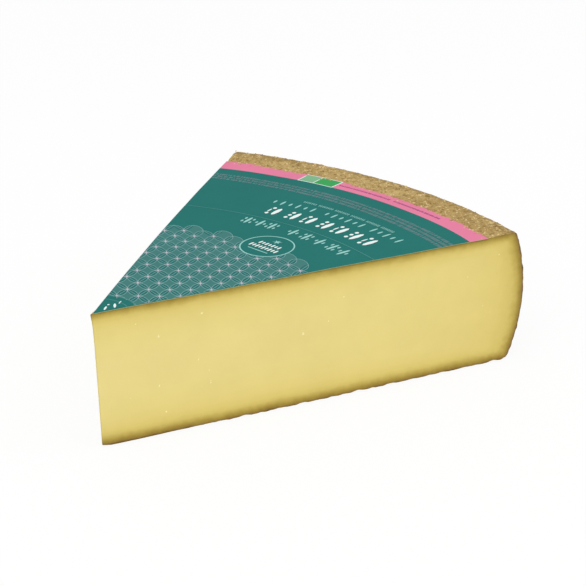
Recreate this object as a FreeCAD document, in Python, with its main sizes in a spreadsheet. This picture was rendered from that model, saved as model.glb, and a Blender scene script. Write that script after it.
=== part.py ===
import FreeCAD, Part
import math
import os
import Sketcher
from FreeCAD import Vector

# A wedge cut from a wheel of hard mountain cheese, with the printed paper that covers its top face.
#
# Millimetres, +Z up. Both pieces are turned about the wheel's axis as whole rounds, and the same two
# knife cuts then take off all but the wedge. The cuts meet short of the axis. The first is flat and runs
# along +X. The second is the wedge angle further round, towards +Y, and bows outwards a little. Each
# piece's Placement then moves it, so that the part's origin is the middle of the wedge's footprint, on
# the surface that it stands on.

SIZES = (
    ("wheel_radius", 350.0, "wheel's axis to the belly of the heel, its widest place"),
    ("middle_height", 87.4, "height of the top face at the wheel's axis"),
    ("rim_rise", 4.4, "how much the top face climbs from the axis out to the wheel's radius"),
    ("belly_height", 47.5, "height of the heel's widest place"),
    ("heel_bulge", 10.1, "how far the belly swells out past the foot"),
    ("shoulder_radius", 4.0, "rounding between the top face and the heel"),
    ("foot_radius", 3.0, "rounding between the heel and the bottom face"),
    ("wedge_angle", 52.5, "degrees between the two cuts"),
    ("tip_reach", 53.3, "wheel's axis to the tip, measured along the first cut"),
    ("cut_offset", 4.8, "wheel's axis to the first cut, measured square to it"),
    ("knife_bow", 2.7, "how far the second cut bows outwards, halfway along"),
    ("label_radius", 318.9, "wheel's axis to the outer edge of the paper"),
    ("paper_thickness", 0.3, "thickness of the paper"),
    ("knife_reach", 15.0, "how far the knife goes on past the heel"),
)

START, END, CENTRE = 1, 2, 3        # the points of a sketched line or arc
ROOT, ACROSS, UP = -1, -1, -2       # a sketch's own origin, horizontal axis and vertical axis
TOP_SLOPE = "atan(Sizes.rim_rise / Sizes.wheel_radius)"
SAME_HEIGHT = 0.001


def make_sheet(doc):
    """The driving dimensions, one row each: name, value and what it measures."""
    sheet = doc.addObject("Spreadsheet::Sheet", "Sizes")
    for row, (alias, value, meaning) in enumerate(SIZES, start=1):
        sheet.set(f"A{row}", alias)
        sheet.set(f"B{row}", str(value))
        sheet.set(f"C{row}", meaning)
        sheet.setAlias(f"B{row}", alias)
    doc.recompute()
    return sheet


def new_body(doc, name):
    body = doc.addObject("PartDesign::Body", name)
    body.Label = name
    return body


def new_sketch(body, role, name):
    """An empty sketch on the body's own origin plane of this role."""
    plane = next(item for item in body.Origin.OriginFeatures if item.Role == role)
    sketch = body.newObject("Sketcher::SketchObject", name)
    sketch.AttachmentSupport = [(plane, "")]
    sketch.MapMode = "FlatFace"
    return sketch


def drive(sketch, name, expression, constraint):
    """Add a dimension that follows the sheet."""
    index = sketch.addConstraint(constraint)
    sketch.renameConstraint(index, name)
    sketch.setExpression(f"Constraints.{name}", expression)


def join(sketch, *corners):
    """Put each pair of points together."""
    for corner in corners:
        sketch.addConstraint(Sketcher.Constraint("Coincident", *corner))


def polar(radius, degrees):
    angle = math.radians(degrees)
    return Vector(radius * math.cos(angle), radius * math.sin(angle), 0)


def draw_wheel_profile(body, sizes):
    """Half section of the wheel: flat bottom, swelling heel, and a top that sinks to the middle."""
    sketch = new_sketch(body, "XZ_Plane", "WheelProfile")
    root = Vector(0, 0, 0)
    foot = Vector(sizes.wheel_radius - sizes.heel_bulge, 0, 0)
    belly = Vector(sizes.wheel_radius, sizes.belly_height, 0)
    shoulder = Vector(foot.x, sizes.middle_height + sizes.rim_rise, 0)
    middle = Vector(0, sizes.middle_height, 0)
    bottom = sketch.addGeometry(Part.LineSegment(root, foot))
    heel = sketch.addGeometry(Part.Arc(foot, belly, shoulder))
    top = sketch.addGeometry(Part.LineSegment(shoulder, middle))
    core = sketch.addGeometry(Part.LineSegment(middle, root))
    join(sketch,
         (bottom, START, ROOT, START),
         (bottom, END, heel, START),
         (heel, END, top, START),
         (top, END, core, START),
         (core, END, ROOT, START))
    sketch.addConstraint(Sketcher.Constraint("Horizontal", bottom))
    sketch.addConstraint(Sketcher.Constraint("Vertical", core))
    drive(sketch, "foot_reach", "Sizes.wheel_radius - Sizes.heel_bulge",
          Sketcher.Constraint("DistanceX", bottom, START, bottom, END, foot.x))
    drive(sketch, "middle_height", "Sizes.middle_height",
          Sketcher.Constraint("DistanceY", core, END, core, START, middle.y))
    drive(sketch, "belly_height", "Sizes.belly_height",
          Sketcher.Constraint("DistanceY", ROOT, START, heel, CENTRE, belly.y))
    heel_radius = (sizes.belly_height ** 2 + sizes.heel_bulge ** 2) / (2 * sizes.heel_bulge)
    drive(sketch, "heel_radius",
          "(Sizes.belly_height ^ 2 + Sizes.heel_bulge ^ 2) / (2 * Sizes.heel_bulge)",
          Sketcher.Constraint("Radius", heel, heel_radius))
    drive(sketch, "top_slope", TOP_SLOPE,
          Sketcher.Constraint("Angle", ACROSS, START, top, END, 0.0))
    return sketch


def draw_paper_profile(body, sizes):
    """Section of the paper, whose underside lies on the slope of the wheel's top face."""
    sketch = new_sketch(body, "XZ_Plane", "PaperProfile")
    thickness = Vector(0, sizes.paper_thickness, 0)
    middle = Vector(0, sizes.middle_height, 0)
    edge = Vector(sizes.label_radius, sizes.middle_height + sizes.rim_rise, 0)
    under = sketch.addGeometry(Part.LineSegment(middle, edge))
    rim = sketch.addGeometry(Part.LineSegment(edge, edge + thickness))
    face = sketch.addGeometry(Part.LineSegment(edge + thickness, middle + thickness))
    core = sketch.addGeometry(Part.LineSegment(middle + thickness, middle))
    join(sketch,
         (under, END, rim, START),
         (rim, END, face, START),
         (face, END, core, START),
         (core, END, under, START))
    sketch.addConstraint(Sketcher.Constraint("PointOnObject", under, START, UP))
    sketch.addConstraint(Sketcher.Constraint("Vertical", rim))
    sketch.addConstraint(Sketcher.Constraint("Vertical", core))
    sketch.addConstraint(Sketcher.Constraint("Parallel", under, face))
    drive(sketch, "middle_height", "Sizes.middle_height",
          Sketcher.Constraint("DistanceY", ROOT, START, under, START, middle.y))
    drive(sketch, "top_slope", TOP_SLOPE,
          Sketcher.Constraint("Angle", ACROSS, START, under, START, 0.0))
    drive(sketch, "label_radius", "Sizes.label_radius",
          Sketcher.Constraint("DistanceX", under, START, under, END, edge.x))
    drive(sketch, "paper_thickness", "Sizes.paper_thickness",
          Sketcher.Constraint("DistanceY", rim, START, rim, END, thickness.y))
    return sketch


def draw_knife_path(body, sizes):
    """What the knife takes off: all the wheel outside the wedge, up to a circle round it."""
    sketch = new_sketch(body, "XY_Plane", "KnifePath")
    root = Vector(0, 0, 0)
    upwards = Vector(0, 0, 1)
    reach = sizes.wheel_radius + sizes.knife_reach
    along = polar(1, sizes.wedge_angle)
    tip = Vector(sizes.tip_reach, sizes.cut_offset, 0)
    heel = tip + along * (sizes.wheel_radius - tip.dot(along))
    bowed = (tip + heel) * 0.5 + polar(sizes.knife_bow, sizes.wedge_angle + 90)
    first_out = Vector(reach, sizes.cut_offset, 0)
    second_out = heel + along * sizes.knife_reach
    first_bearing = math.atan2(first_out.y, first_out.x)
    second_bearing = math.atan2(second_out.y, second_out.x)
    first_cut = sketch.addGeometry(Part.LineSegment(tip, first_out))
    behind_heel = sketch.addGeometry(
        Part.ArcOfCircle(Part.Circle(root, upwards, reach), first_bearing, second_bearing))
    run_out = sketch.addGeometry(Part.LineSegment(second_out, heel))
    second_cut = sketch.addGeometry(Part.Arc(heel, bowed, tip))
    waste = sketch.addGeometry(Part.Circle(root, upwards, reach + sizes.knife_reach))
    chord = sketch.addGeometry(Part.LineSegment(tip, heel), True)
    bow = sketch.addGeometry(Part.LineSegment((tip + heel) * 0.5, bowed), True)
    join(sketch,
         (first_cut, END, behind_heel, START),
         (behind_heel, END, run_out, START),
         (run_out, END, second_cut, START),
         (second_cut, END, first_cut, START),
         (behind_heel, CENTRE, ROOT, START),
         (waste, CENTRE, ROOT, START),
         (chord, START, first_cut, START),
         (chord, END, second_cut, START))
    sketch.addConstraint(Sketcher.Constraint("Horizontal", first_cut))
    sketch.addConstraint(Sketcher.Constraint("Parallel", chord, run_out))
    sketch.addConstraint(Sketcher.Constraint("Symmetric", chord, START, chord, END, bow, START))
    sketch.addConstraint(Sketcher.Constraint("Perpendicular", chord, bow))
    sketch.addConstraint(Sketcher.Constraint("PointOnObject", bow, END, second_cut))
    drive(sketch, "tip_reach", "Sizes.tip_reach",
          Sketcher.Constraint("DistanceX", ROOT, START, first_cut, START, tip.x))
    drive(sketch, "cut_offset", "Sizes.cut_offset",
          Sketcher.Constraint("DistanceY", ROOT, START, first_cut, START, tip.y))
    drive(sketch, "wedge_angle", "Sizes.wedge_angle",
          Sketcher.Constraint("Angle", ACROSS, START, chord, START, math.radians(sizes.wedge_angle)))
    drive(sketch, "wheel_radius", "Sizes.wheel_radius",
          Sketcher.Constraint("Distance", ROOT, START, second_cut, START, sizes.wheel_radius))
    drive(sketch, "knife_bow", "Sizes.knife_bow",
          Sketcher.Constraint("Distance", bow, sizes.knife_bow))
    drive(sketch, "reach", "Sizes.wheel_radius + Sizes.knife_reach",
          Sketcher.Constraint("Radius", behind_heel, reach))
    drive(sketch, "waste", "Sizes.wheel_radius + 2 * Sizes.knife_reach",
          Sketcher.Constraint("Radius", waste, reach + sizes.knife_reach))
    depth = sketch.addConstraint(
        Sketcher.Constraint("DistanceY", chord, START, chord, END, heel.y - tip.y))
    sketch.setDriving(depth, False)
    sketch.renameConstraint(depth, "wedge_depth")
    return sketch


def turn(body, profile):
    """Turn the profile all the way round the wheel's axis."""
    round_stock = body.newObject("PartDesign::Revolution", "Round")
    round_stock.Profile = profile
    round_stock.ReferenceAxis = (profile, ["V_Axis"])
    round_stock.Angle = 360
    body.Document.recompute()
    return round_stock


def edges_at(feature, height):
    """Names of the circles that lie at this height."""
    names = []
    for number, edge in enumerate(feature.Shape.Edges, start=1):
        level = all(abs(point.Z - height) < SAME_HEIGHT for point in edge.Vertexes)
        if level and isinstance(edge.Curve, Part.Circle):
            names.append(f"Edge{number}")
    return names


def round_edge(body, feature, name, height, alias):
    """Round the circle at this height by the radius in the cell of this name."""
    rounding = body.newObject("PartDesign::Fillet", name)
    rounding.Base = (feature, edges_at(feature, height))
    rounding.setExpression("Radius", f"Sizes.{alias}")
    body.Document.recompute()
    return rounding


def cut_wedge(body, feature, sizes):
    """Cut the wedge out of the round, from the table up through the top face, and place it."""
    path = draw_knife_path(body, sizes)
    cut = body.newObject("PartDesign::Pocket", "KnifeCuts")
    cut.Profile = path
    cut.Type = "ThroughAll"
    cut.Reversed = True
    body.Document.recompute()
    share = sizes.wedge_angle / 360
    if not 0.5 * share < cut.Shape.Volume / feature.Shape.Volume < share:
        raise RuntimeError(f"{body.Label}: the cuts do not leave a wedge")
    body.setExpression("Placement.Base.x", "-(Sizes.tip_reach"
                       " + sqrt(Sizes.wheel_radius ^ 2 - Sizes.cut_offset ^ 2)) / 2")
    body.setExpression("Placement.Base.y",
                       f"-Sizes.cut_offset * 1 mm - {path.Name}.Constraints.wedge_depth / 2")
    return cut


def make_cheese_wedge(doc, sizes):
    """Paste and rind in one piece: a swelling heel, rounded rind edges and sharp cuts."""
    body = new_body(doc, "cheese_wedge")
    wheel = turn(body, draw_wheel_profile(body, sizes))
    foot = round_edge(body, wheel, "Foot", 0.0, "foot_radius")
    top = max(point.Z for point in foot.Shape.Vertexes)
    shoulder = round_edge(body, foot, "Shoulder", top, "shoulder_radius")
    cut_wedge(body, shoulder, sizes)
    return body


def make_paper_label(doc, sizes):
    """The paper on the top face, cut through with the cheese."""
    body = new_body(doc, "paper_label")
    disc = turn(body, draw_paper_profile(body, sizes))
    cut_wedge(body, disc, sizes)
    return body


def check(doc, pieces):
    """Stop before anything is written if a feature failed or a piece is not one sound solid."""
    for item in doc.Objects:
        if "Invalid" in item.State or "Error" in item.State:
            raise RuntimeError(f"{item.Label} failed: {item.State}")
    for piece in pieces:
        if piece.Shape.isNull() or not piece.Shape.isValid() or len(piece.Shape.Solids) != 1:
            raise RuntimeError(f"{piece.Label} is not one valid solid")


def main():
    doc = FreeCAD.newDocument("CheeseWedge")
    sizes = make_sheet(doc)
    pieces = [make_cheese_wedge(doc, sizes), make_paper_label(doc, sizes)]
    doc.recompute()
    check(doc, pieces)
    os.makedirs("parts", exist_ok=True)
    for piece in pieces:
        piece.Shape.exportStep(f"parts/{piece.Label}.step")
        box = piece.Shape.optimalBoundingBox(False)
        print(f"{piece.Label}: {piece.Shape.Volume / 1000:.1f} cm3, "
              f"{box.XLength:.2f} x {box.YLength:.2f} x {box.ZLength:.2f} mm")


main()
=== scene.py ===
import math
import random

import bmesh
import bpy
from bpy.props import FloatProperty, FloatVectorProperty, IntProperty, PointerProperty
from mathutils import Matrix, Vector, noise


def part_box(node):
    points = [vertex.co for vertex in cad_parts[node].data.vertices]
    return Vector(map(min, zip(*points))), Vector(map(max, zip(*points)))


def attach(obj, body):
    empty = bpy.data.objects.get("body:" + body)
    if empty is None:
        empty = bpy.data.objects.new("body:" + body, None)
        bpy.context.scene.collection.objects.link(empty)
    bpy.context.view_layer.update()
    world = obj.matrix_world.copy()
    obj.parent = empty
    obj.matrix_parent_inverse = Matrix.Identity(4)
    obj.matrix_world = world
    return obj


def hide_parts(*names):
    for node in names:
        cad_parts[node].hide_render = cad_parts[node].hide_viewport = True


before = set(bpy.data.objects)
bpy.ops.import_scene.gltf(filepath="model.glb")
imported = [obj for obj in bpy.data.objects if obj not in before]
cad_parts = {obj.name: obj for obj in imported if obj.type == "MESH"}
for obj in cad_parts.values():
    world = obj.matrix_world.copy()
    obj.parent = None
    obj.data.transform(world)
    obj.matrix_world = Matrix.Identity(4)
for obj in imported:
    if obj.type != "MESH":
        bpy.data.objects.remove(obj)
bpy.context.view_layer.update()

bl_info = {
    "name": "Cheese wedge",
    "version": (1, 0, 0),
    "blender": (4, 5, 0),
    "location": "3D View > Sidebar > Cheese",
    "description": "A cut wedge of hard mountain cheese with its rind, crystals and printed paper",
    "category": "Object",
}

# Metres, +Z up. The wedge's tip, its footprint and the heights of its top come from the fixed frame.
# Shapes are first made in plan round the tip, with the first cut along +X, and then put in place.

MM = 0.001
CHEESE_LOW, CHEESE_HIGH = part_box("cheese_wedge")
PAPER_LOW, PAPER_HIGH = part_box("paper_label")
TIP = Vector((CHEESE_LOW.x, CHEESE_LOW.y, 0.0))
RIND, PASTE = 0, 1                              # material slots of the wedge
TEAL, PINK, PULP = 0, 1, 2                      # material slots of the paper
EXACT_FROM = 0.24                               # past this wheel radius a fan's circles are exact
PAPER_CLEARANCE = 0.02 * MM                     # between the cheese and the paper's underside
LATTICE_CELLS = 16                              # tried each way from the lattice's first star
LATTICE_MARGIN = 16 * MM                        # cells this far outside the paper are left out
PRINT_MARGIN = 0.3 * MM                         # print keeps this far inside the cuts


def srgb(red, green, blue):
    """Linear colour from the 0 to 255 values that a colour picker shows."""
    def linear(value):
        value /= 255.0
        return value / 12.92 if value <= 0.04045 else ((value + 0.055) / 1.055) ** 2.4
    return linear(red), linear(green), linear(blue)


def length_property(name, default, description):
    return FloatProperty(name=name, description=description, default=default * MM, min=0.0,
                         subtype="DISTANCE", unit="LENGTH")


def colour_property(name, default, description):
    return FloatVectorProperty(name=name, description=description, default=srgb(*default),
                               size=3, min=0.0, max=1.0, subtype="COLOR")


def place_property(name, default, description):
    return FloatVectorProperty(name=name, description=description, size=2, subtype="XYZ", unit="LENGTH",
                               default=[value * MM for value in default])


class WedgeSettings(bpy.types.PropertyGroup):
    """The round that the wedge is cut from, the cuts, and how rough they are."""
    wheel_radius: length_property("Wheel radius", 350.0, "From the wheel's axis to the belly of the heel")
    belly_height: length_property("Belly height", 47.5, "Height of the heel's widest place")
    heel_bulge: length_property("Heel bulge", 10.1, "How far the belly swells out past the foot")
    cut_offset: length_property("Cut offset", 4.8, "From the wheel's axis to the first cut, square to it")
    wedge_angle: FloatProperty(name="Wedge angle", description="Between the two cuts",
                               default=math.radians(52.5), subtype="ANGLE", unit="ROTATION")
    knife_bow: length_property("Knife bow", 2.7, "How far the second cut bows outwards, halfway along")
    swell: length_property("Swell", 0.25, "Gentle waves of the top face")
    grit: length_property("Grit", 0.42, "Depth of the rind's grain")
    foot: length_property("Foot", 1.1, "How far a cut face leans out at its foot")
    edge_wear: length_property("Edge wear", 1.3, "How far the lower edge beside a cut has crumbled away")
    heel_wear: length_property("Heel wear", 1.2, "How far the heel's corners are rounded off")
    tip_lip: length_property("Tip lip", 1.4, "How far the rind stands out at the top of the tip")
    rim_rise: length_property("Rim rise", 0.7, "Swelling of the rind outside the paper, at the first cut")
    rim_gain: length_property("Rim gain", 1.4, "How much more the rind swells at the second cut")
    rind_pitch: length_property("Rind pitch", 1.05, "Distance between points on the rind")
    cut_pitch: length_property("Cut pitch", 1.3, "Distance between points along the cut edges")
    paste_colour: colour_property("Paste", (231, 214, 139), "Colour in the middle of a cut face")
    rind_colour: colour_property("Rind", (174, 145, 86), "Main colour of the rind")
    rind_dark_colour: colour_property("Rind, dark", (130, 104, 56), "Hollows and old spots of the rind")
    rind_pale_colour: colour_property("Rind, pale", (218, 192, 136), "Dry grains of the rind")


class CrystalSettings(bpy.types.PropertyGroup):
    """White grains in the paste, seen on the cut faces."""
    count: IntProperty(name="Count", description="Grains on each cut face", default=24, min=0)
    size: length_property("Size", 2.3, "Width of the widest grains")
    seed: IntProperty(name="Seed", description="Start of the random draws", default=11)
    colour: colour_property("Colour", (255, 248, 196), "Colour of the grains")


class FlakeSettings(bpy.types.PropertyGroup):
    """Loose grains and flakes on the rind."""
    count: IntProperty(name="Count", description="Flakes on the top ring and the heel",
                       default=3600, min=0)
    edge_count: IntProperty(name="Edge count", description="Crumbs along the paper's edge",
                            default=160, min=0)
    size: length_property("Size", 2.6, "Length of the longest flakes")
    seed: IntProperty(name="Seed", description="Start of the random draws", default=5)


class PaperSettings(bpy.types.PropertyGroup):
    """The printed paper on the top face."""
    disc_radius: length_property("Disc radius", 305.2, "From the wheel's axis to the pink band")
    radius: length_property("Radius", 319.2, "From the wheel's axis to the edge of the paper")
    disc_wave: length_property("Disc wave", 1.1, "How far the teal disc's edge is off its circle")
    overhang: length_property("Overhang", 0.35, "How far the sheet reaches past the first cut near the tip")
    thickness: length_property("Thickness", 0.3, "Thickness of the paper")
    raggedness: length_property("Raggedness", 1.0, "How far the outer edge wanders")
    back_spread: length_property("Back spread", 3.2, "How much wider the sheet is at the second cut")
    patch_spread: length_property("Patch spread", 1.6, "How much wider the sheet is beside the patch")
    ink: length_property("Ink", 0.03, "How far print stands on the paper")
    teal_colour: colour_property("Teal", (39, 116, 110), "Main field")
    pink_colour: colour_property("Pink", (231, 131, 163), "Outer band")
    pulp_colour: colour_property("Paper", (168, 176, 128), "Cut edge of the paper")


class PrintSettings(bpy.types.PropertyGroup):
    """What is printed on the paper. Places are in plan round the tip."""
    rows_back: length_property("Rows' centre back", 47.3, "From the tip back to the middle of the rows")
    rows_aside: length_property("Rows' centre aside", 21.8, "From the first cut to the middle of the rows")
    bold_radius: length_property("Bold row", 245.5, "From the middle of the rows to the bold ornaments")
    thin_radius: length_property("Thin row", 221.5, "From the middle of the rows to the slender leaves")
    ring_radius: length_property("Ring", 230.4, "From the middle of the rows to the line between them")
    small_radius: length_property("Small row", 262.2, "From the middle of the rows to the small leaves")
    dotted_radius: length_property("Dotted row", 269.4, "From the middle of the rows to the fine strokes")
    grey_radius: length_property("Grey rows", 283.6, "From the wheel's axis to the first grey row")
    grey_pitch: length_property("Grey pitch", 4.2, "From one grey row to the next")
    plum_radius: length_property("Plum row", 313.2, "From the wheel's axis to the row in the pink band")
    patch_inner: length_property("Patch inside", 305.6, "From the wheel's axis to the green patch")
    patch_outer: length_property("Patch outside", 320.4, "From the wheel's axis past the green patch")
    star_start: place_property("First star", (58.4, 73.1), "Place of one star of the lattice")
    star_right: place_property("Star to the right", (8.68, 6.45), "From a star to its right neighbour")
    star_up: place_property("Star above", (-2.48, 11.90), "From a star to the neighbour above it")
    lattice_radius: length_property("Lattice radius", 136.0, "From the tip to the last stars")
    circles_past: length_property("Circles past", 2.2, "How far the circles go on past the last stars")
    plain_radius: length_property("Plain radius", 25.0, "From the tip to the start of the lattice")
    line_width: FloatProperty(name="Line width", description="Width of the lattice's lines in cells",
                              default=0.032, min=0.0)
    seal_middle: place_property("Seal", (130.8, 50.4), "Middle of the round seal")
    seal_radius: length_property("Seal radius", 17.5, "Radius of the round seal")
    pale_colour: colour_property("Pale print", (158, 212, 206), "Thin rows and seal")
    faint_colour: colour_property("Faint print", (92, 152, 148), "Thin rings")
    white_colour: colour_property("White print", (240, 248, 246), "Bold row")
    plain_colour: colour_property("Plain ground", (39, 116, 110), "Teal laid over the lattice's field")
    field_colour: colour_property("Lattice field", (70, 127, 123), "Ground of the lattice")
    petal_colour: colour_property("Petals", (44, 113, 110), "Petals of the lattice")
    lattice_colour: colour_property("Lattice", (136, 176, 174), "Lines of the lattice")
    star_colour: colour_property("Stars", (198, 194, 204), "Stars of the lattice")
    grey_colour: colour_property("Grey print", (106, 130, 134), "Small rows beside the pink band")
    plum_colour: colour_property("Plum print", (142, 74, 118), "Small row in the pink band")
    green_colour: colour_property("Green", (64, 166, 92), "Bright field of the patch")
    pale_green_colour: colour_property("Pale green", (130, 186, 143), "Pale field of the patch")


class StageSettings(bpy.types.PropertyGroup):
    """Camera, lamps and floor."""
    camera_back: length_property("Camera back", 630.7, "From the tip back to the camera")
    camera_left: length_property("Camera left", 161.6, "From the tip left to the camera")
    camera_height: length_property("Camera height", 381.9, "Height of the camera")
    camera_turn: FloatProperty(name="Camera turn", description="Turned right from looking along +Y",
                               default=math.radians(24.5), subtype="ANGLE", unit="ROTATION")
    camera_dip: FloatProperty(name="Camera dip", description="Tilted down from level",
                              default=math.radians(23.66), subtype="ANGLE", unit="ROTATION")
    lens: FloatProperty(name="Lens", description="Focal length in millimetres", default=75.72)
    sky: FloatProperty(name="Sky", description="Strength of the even light", default=0.82)
    key: FloatProperty(name="Key", description="Power of the large soft lamp in watts", default=9.0)
    floor_colour: colour_property("Floor", (252, 252, 252), "Colour of the floor")
    floor_glow: FloatProperty(name="Floor glow", description="Share of the floor that no shadow reaches",
                              default=0.88, min=0.0, max=1.0)


def settings(name):
    return getattr(bpy.context.scene, "cheese_" + name)


# ---------------------------------------------------------------- shape of the wedge


def tip_reach():
    """From the wheel's axis to the tip, measured along the first cut."""
    wedge = settings("wedge")
    half_chord = math.sqrt(wedge.wheel_radius ** 2 - wedge.cut_offset ** 2)
    return half_chord - (CHEESE_HIGH.x - CHEESE_LOW.x)


def wheel_distance(x, y):
    """How far a point in plan round the tip lies from the wheel's axis."""
    return math.hypot(x + tip_reach(), y + settings("wedge").cut_offset)


def reach(angle, radius):
    """From the tip, in this direction, to the circle of this radius about the wheel's axis."""
    along, aside = tip_reach(), settings("wedge").cut_offset
    towards = along * math.cos(angle) + aside * math.sin(angle)
    return math.sqrt(towards ** 2 - along ** 2 - aside ** 2 + radius ** 2) - towards


def top_slope():
    """Rise of the top face for each metre out from the wheel's axis."""
    paper = settings("paper")
    rise = PAPER_HIGH.z - PAPER_LOW.z - paper.thickness
    return rise / (paper.radius - wheel_distance(0.0, 0.0))


def top_height(x, y):
    """Height of the cheese's top face, with its gentle waves, which run out at the rind's edge."""
    distance = wheel_distance(x, y)
    wave = noise.noise(Vector((x, y, 0.0)) / (45 * MM)) - 0.35
    level = min(1.0, max(0.0, (settings("wedge").wheel_radius - distance) / (30 * MM)))
    flat = PAPER_LOW.z + top_slope() * (distance - wheel_distance(0.0, 0.0))
    return flat + settings("wedge").swell * wave * level


def heel_arc():
    """Radius of the heel's arc in section, and how far its centre lies from the wheel's axis."""
    wedge = settings("wedge")
    radius = (wedge.belly_height ** 2 + wedge.heel_bulge ** 2) / (2 * wedge.heel_bulge)
    return radius, wedge.wheel_radius - radius


def heel_distance(z):
    """From the wheel's axis to the heel's surface at this height."""
    radius, centre = heel_arc()
    return centre + math.sqrt(max(0.0, radius ** 2 - (z - settings("wedge").belly_height) ** 2))


def bow(x, y):
    """Where the bowed second cut carries a point that was laid out with two straight cuts."""
    wedge = settings("wedge")
    angle = math.atan2(y, x)
    share = min(1.0, max(0.0, angle / wedge.wedge_angle))
    along = math.hypot(x, y) / reach(angle, wedge.wheel_radius)
    push = wedge.knife_bow * 4 * along * max(0.0, 1 - along) * share ** 2
    return x - push * math.sin(angle), y + push * math.cos(angle)


def unfan(bm):
    """Turn a fan, laid out by wheel radius round the tip, into the wedge."""
    for vertex in bm.verts:
        radius = math.hypot(vertex.co.x, vertex.co.y)
        angle = math.atan2(vertex.co.y, vertex.co.x) if radius > 1e-9 else 0.0
        if radius > EXACT_FROM:
            length = reach(angle, radius)
        else:
            length = reach(angle, EXACT_FROM) * radius / EXACT_FROM
        x, y = length * math.cos(angle), length * math.sin(angle)
        height = vertex.co.z * fan_top(wheel_distance(x, y)) / fan_top(radius)
        vertex.co = x, y, height


def fan_top(radius):
    """Height of the top face in the fan, at this wheel radius."""
    return PAPER_LOW.z + top_slope() * (radius - wheel_distance(0.0, 0.0))


def section_outline(bare):
    """The wedge's section as a chain of edges, from the tip's foot round the heel to the tip's top.

    Where the rind lies bare, past this wheel radius, its edges are short.
    """
    wedge = settings("wedge")
    arc_radius, arc_centre = heel_arc()
    bm = bmesh.new()
    place = (Matrix.Translation((arc_centre, 0.0, wedge.belly_height))
             @ Matrix.Rotation(math.pi / 2, 4, "X"))
    bmesh.ops.create_circle(bm, cap_ends=True, radius=arc_radius, matrix=place,
                            segments=round(math.tau * arc_radius / wedge.rind_pitch))
    for point, normal in (((0, 0, 0), (0, 0, -1)),
                          ((EXACT_FROM, 0, 0), (-1, 0, 0)),
                          ((EXACT_FROM, 0, fan_top(EXACT_FROM)), (-top_slope(), 0, 1))):
        bmesh.ops.bisect_plane(bm, geom=bm.verts[:] + bm.edges[:] + bm.faces[:], dist=1e-7,
                               plane_co=point, plane_no=normal, clear_outer=True)
    bmesh.ops.delete(bm, geom=bm.faces[:], context="FACES_ONLY")
    gone = [edge for edge in bm.edges if all(abs(vert.co.x - EXACT_FROM) < 1e-6 for vert in edge.verts)]
    bmesh.ops.delete(bm, geom=gone, context="EDGES")
    for vert in [vert for vert in bm.verts if abs(vert.co.x - EXACT_FROM) < 1e-6]:
        height = 0.0 if vert.co.z < 10 * MM else fan_top(0.0)
        bm.edges.new((vert, bm.verts.new((0.0, 0.0, height))))
    for distance in (steps(0.0, bare, 7 * MM)
                     + steps(bare, wedge.wheel_radius - 6 * MM, wedge.rind_pitch)):
        flat = [edge for edge in bm.edges
                if min(vert.co.x for vert in edge.verts) < distance < max(vert.co.x for vert in edge.verts)
                and abs(edge.verts[0].co.x - edge.verts[1].co.x) > 1.5 * wedge.rind_pitch]
        verts = {vert for edge in flat for vert in edge.verts}
        bmesh.ops.bisect_plane(bm, geom=flat + list(verts), dist=1e-7,
                               plane_co=(distance, 0, 0), plane_no=(1, 0, 0))
    corners = [vert for vert in bm.verts if vert.co.x > wedge.wheel_radius - 20 * MM
               and min(vert.co.z, fan_top(vert.co.x) - vert.co.z) < 3 * MM]
    for _ in range(2):
        bmesh.ops.smooth_vert(bm, verts=corners, factor=0.5, use_axis_x=True, use_axis_z=True)
    return bm


def cut_up(bm, faces, normal, distance):
    """Slice these flat faces with a plane, and return the faces that are there afterwards."""
    geometry = set(faces) | {edge for face in faces for edge in face.edges}
    geometry |= {vert for face in faces for vert in face.verts}
    result = bmesh.ops.bisect_plane(bm, geom=list(geometry), dist=1e-6,
                                    plane_co=normal * distance, plane_no=normal)
    return [item for item in result["geom"] if isinstance(item, bmesh.types.BMFace)]


def smooth_step(start, stop, value):
    """From 0 at the start to 1 at the stop, level at both."""
    share = min(1.0, max(0.0, (value - start) / (stop - start)))
    return share * share * (3 - 2 * share)


def steps(start, stop, pitch):
    """Evenly spaced values from start to stop, both left out."""
    count = max(1, round((stop - start) / pitch))
    return [start + (stop - start) * number / count for number in range(1, count)]


def cut_face(outline):
    """A cut face, divided finely near the rind and loosely between, and the points of its rim."""
    wedge = settings("wedge")
    bm = outline.copy()
    ends = [vert for vert in bm.verts if len(vert.link_edges) == 1]
    bm.edges.new(ends)
    last = bmesh.ops.contextual_create(bm, geom=bm.edges[:])["faces"]
    for distance in steps(0.0, wedge.wheel_radius, wedge.cut_pitch):
        parts = cut_up(bm, last, Vector((1, 0, 0)), distance)
        last = [max(parts, key=lambda face: face.calc_center_bounds().x)]
    margins = [value * MM for value in (0.6, 1.3, 2.2, 3.5, 5.5, 8.5, 13.0, 20.0)]
    levels = margins + [value * MM for value in range(30, 80, 10)]
    levels += [PAPER_LOW.z - margin for margin in reversed(margins)]
    for level in levels:
        cut_up(bm, bm.faces[:], Vector((0, 0, 1)), level)
    for face in bm.faces:
        face.material_index = PASTE
    rim = [vert.co.copy() for vert in bm.verts if vert.is_boundary]
    mesh = bpy.data.meshes.new("cut face")
    bm.to_mesh(mesh)
    bm.free()
    return mesh, rim


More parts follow.
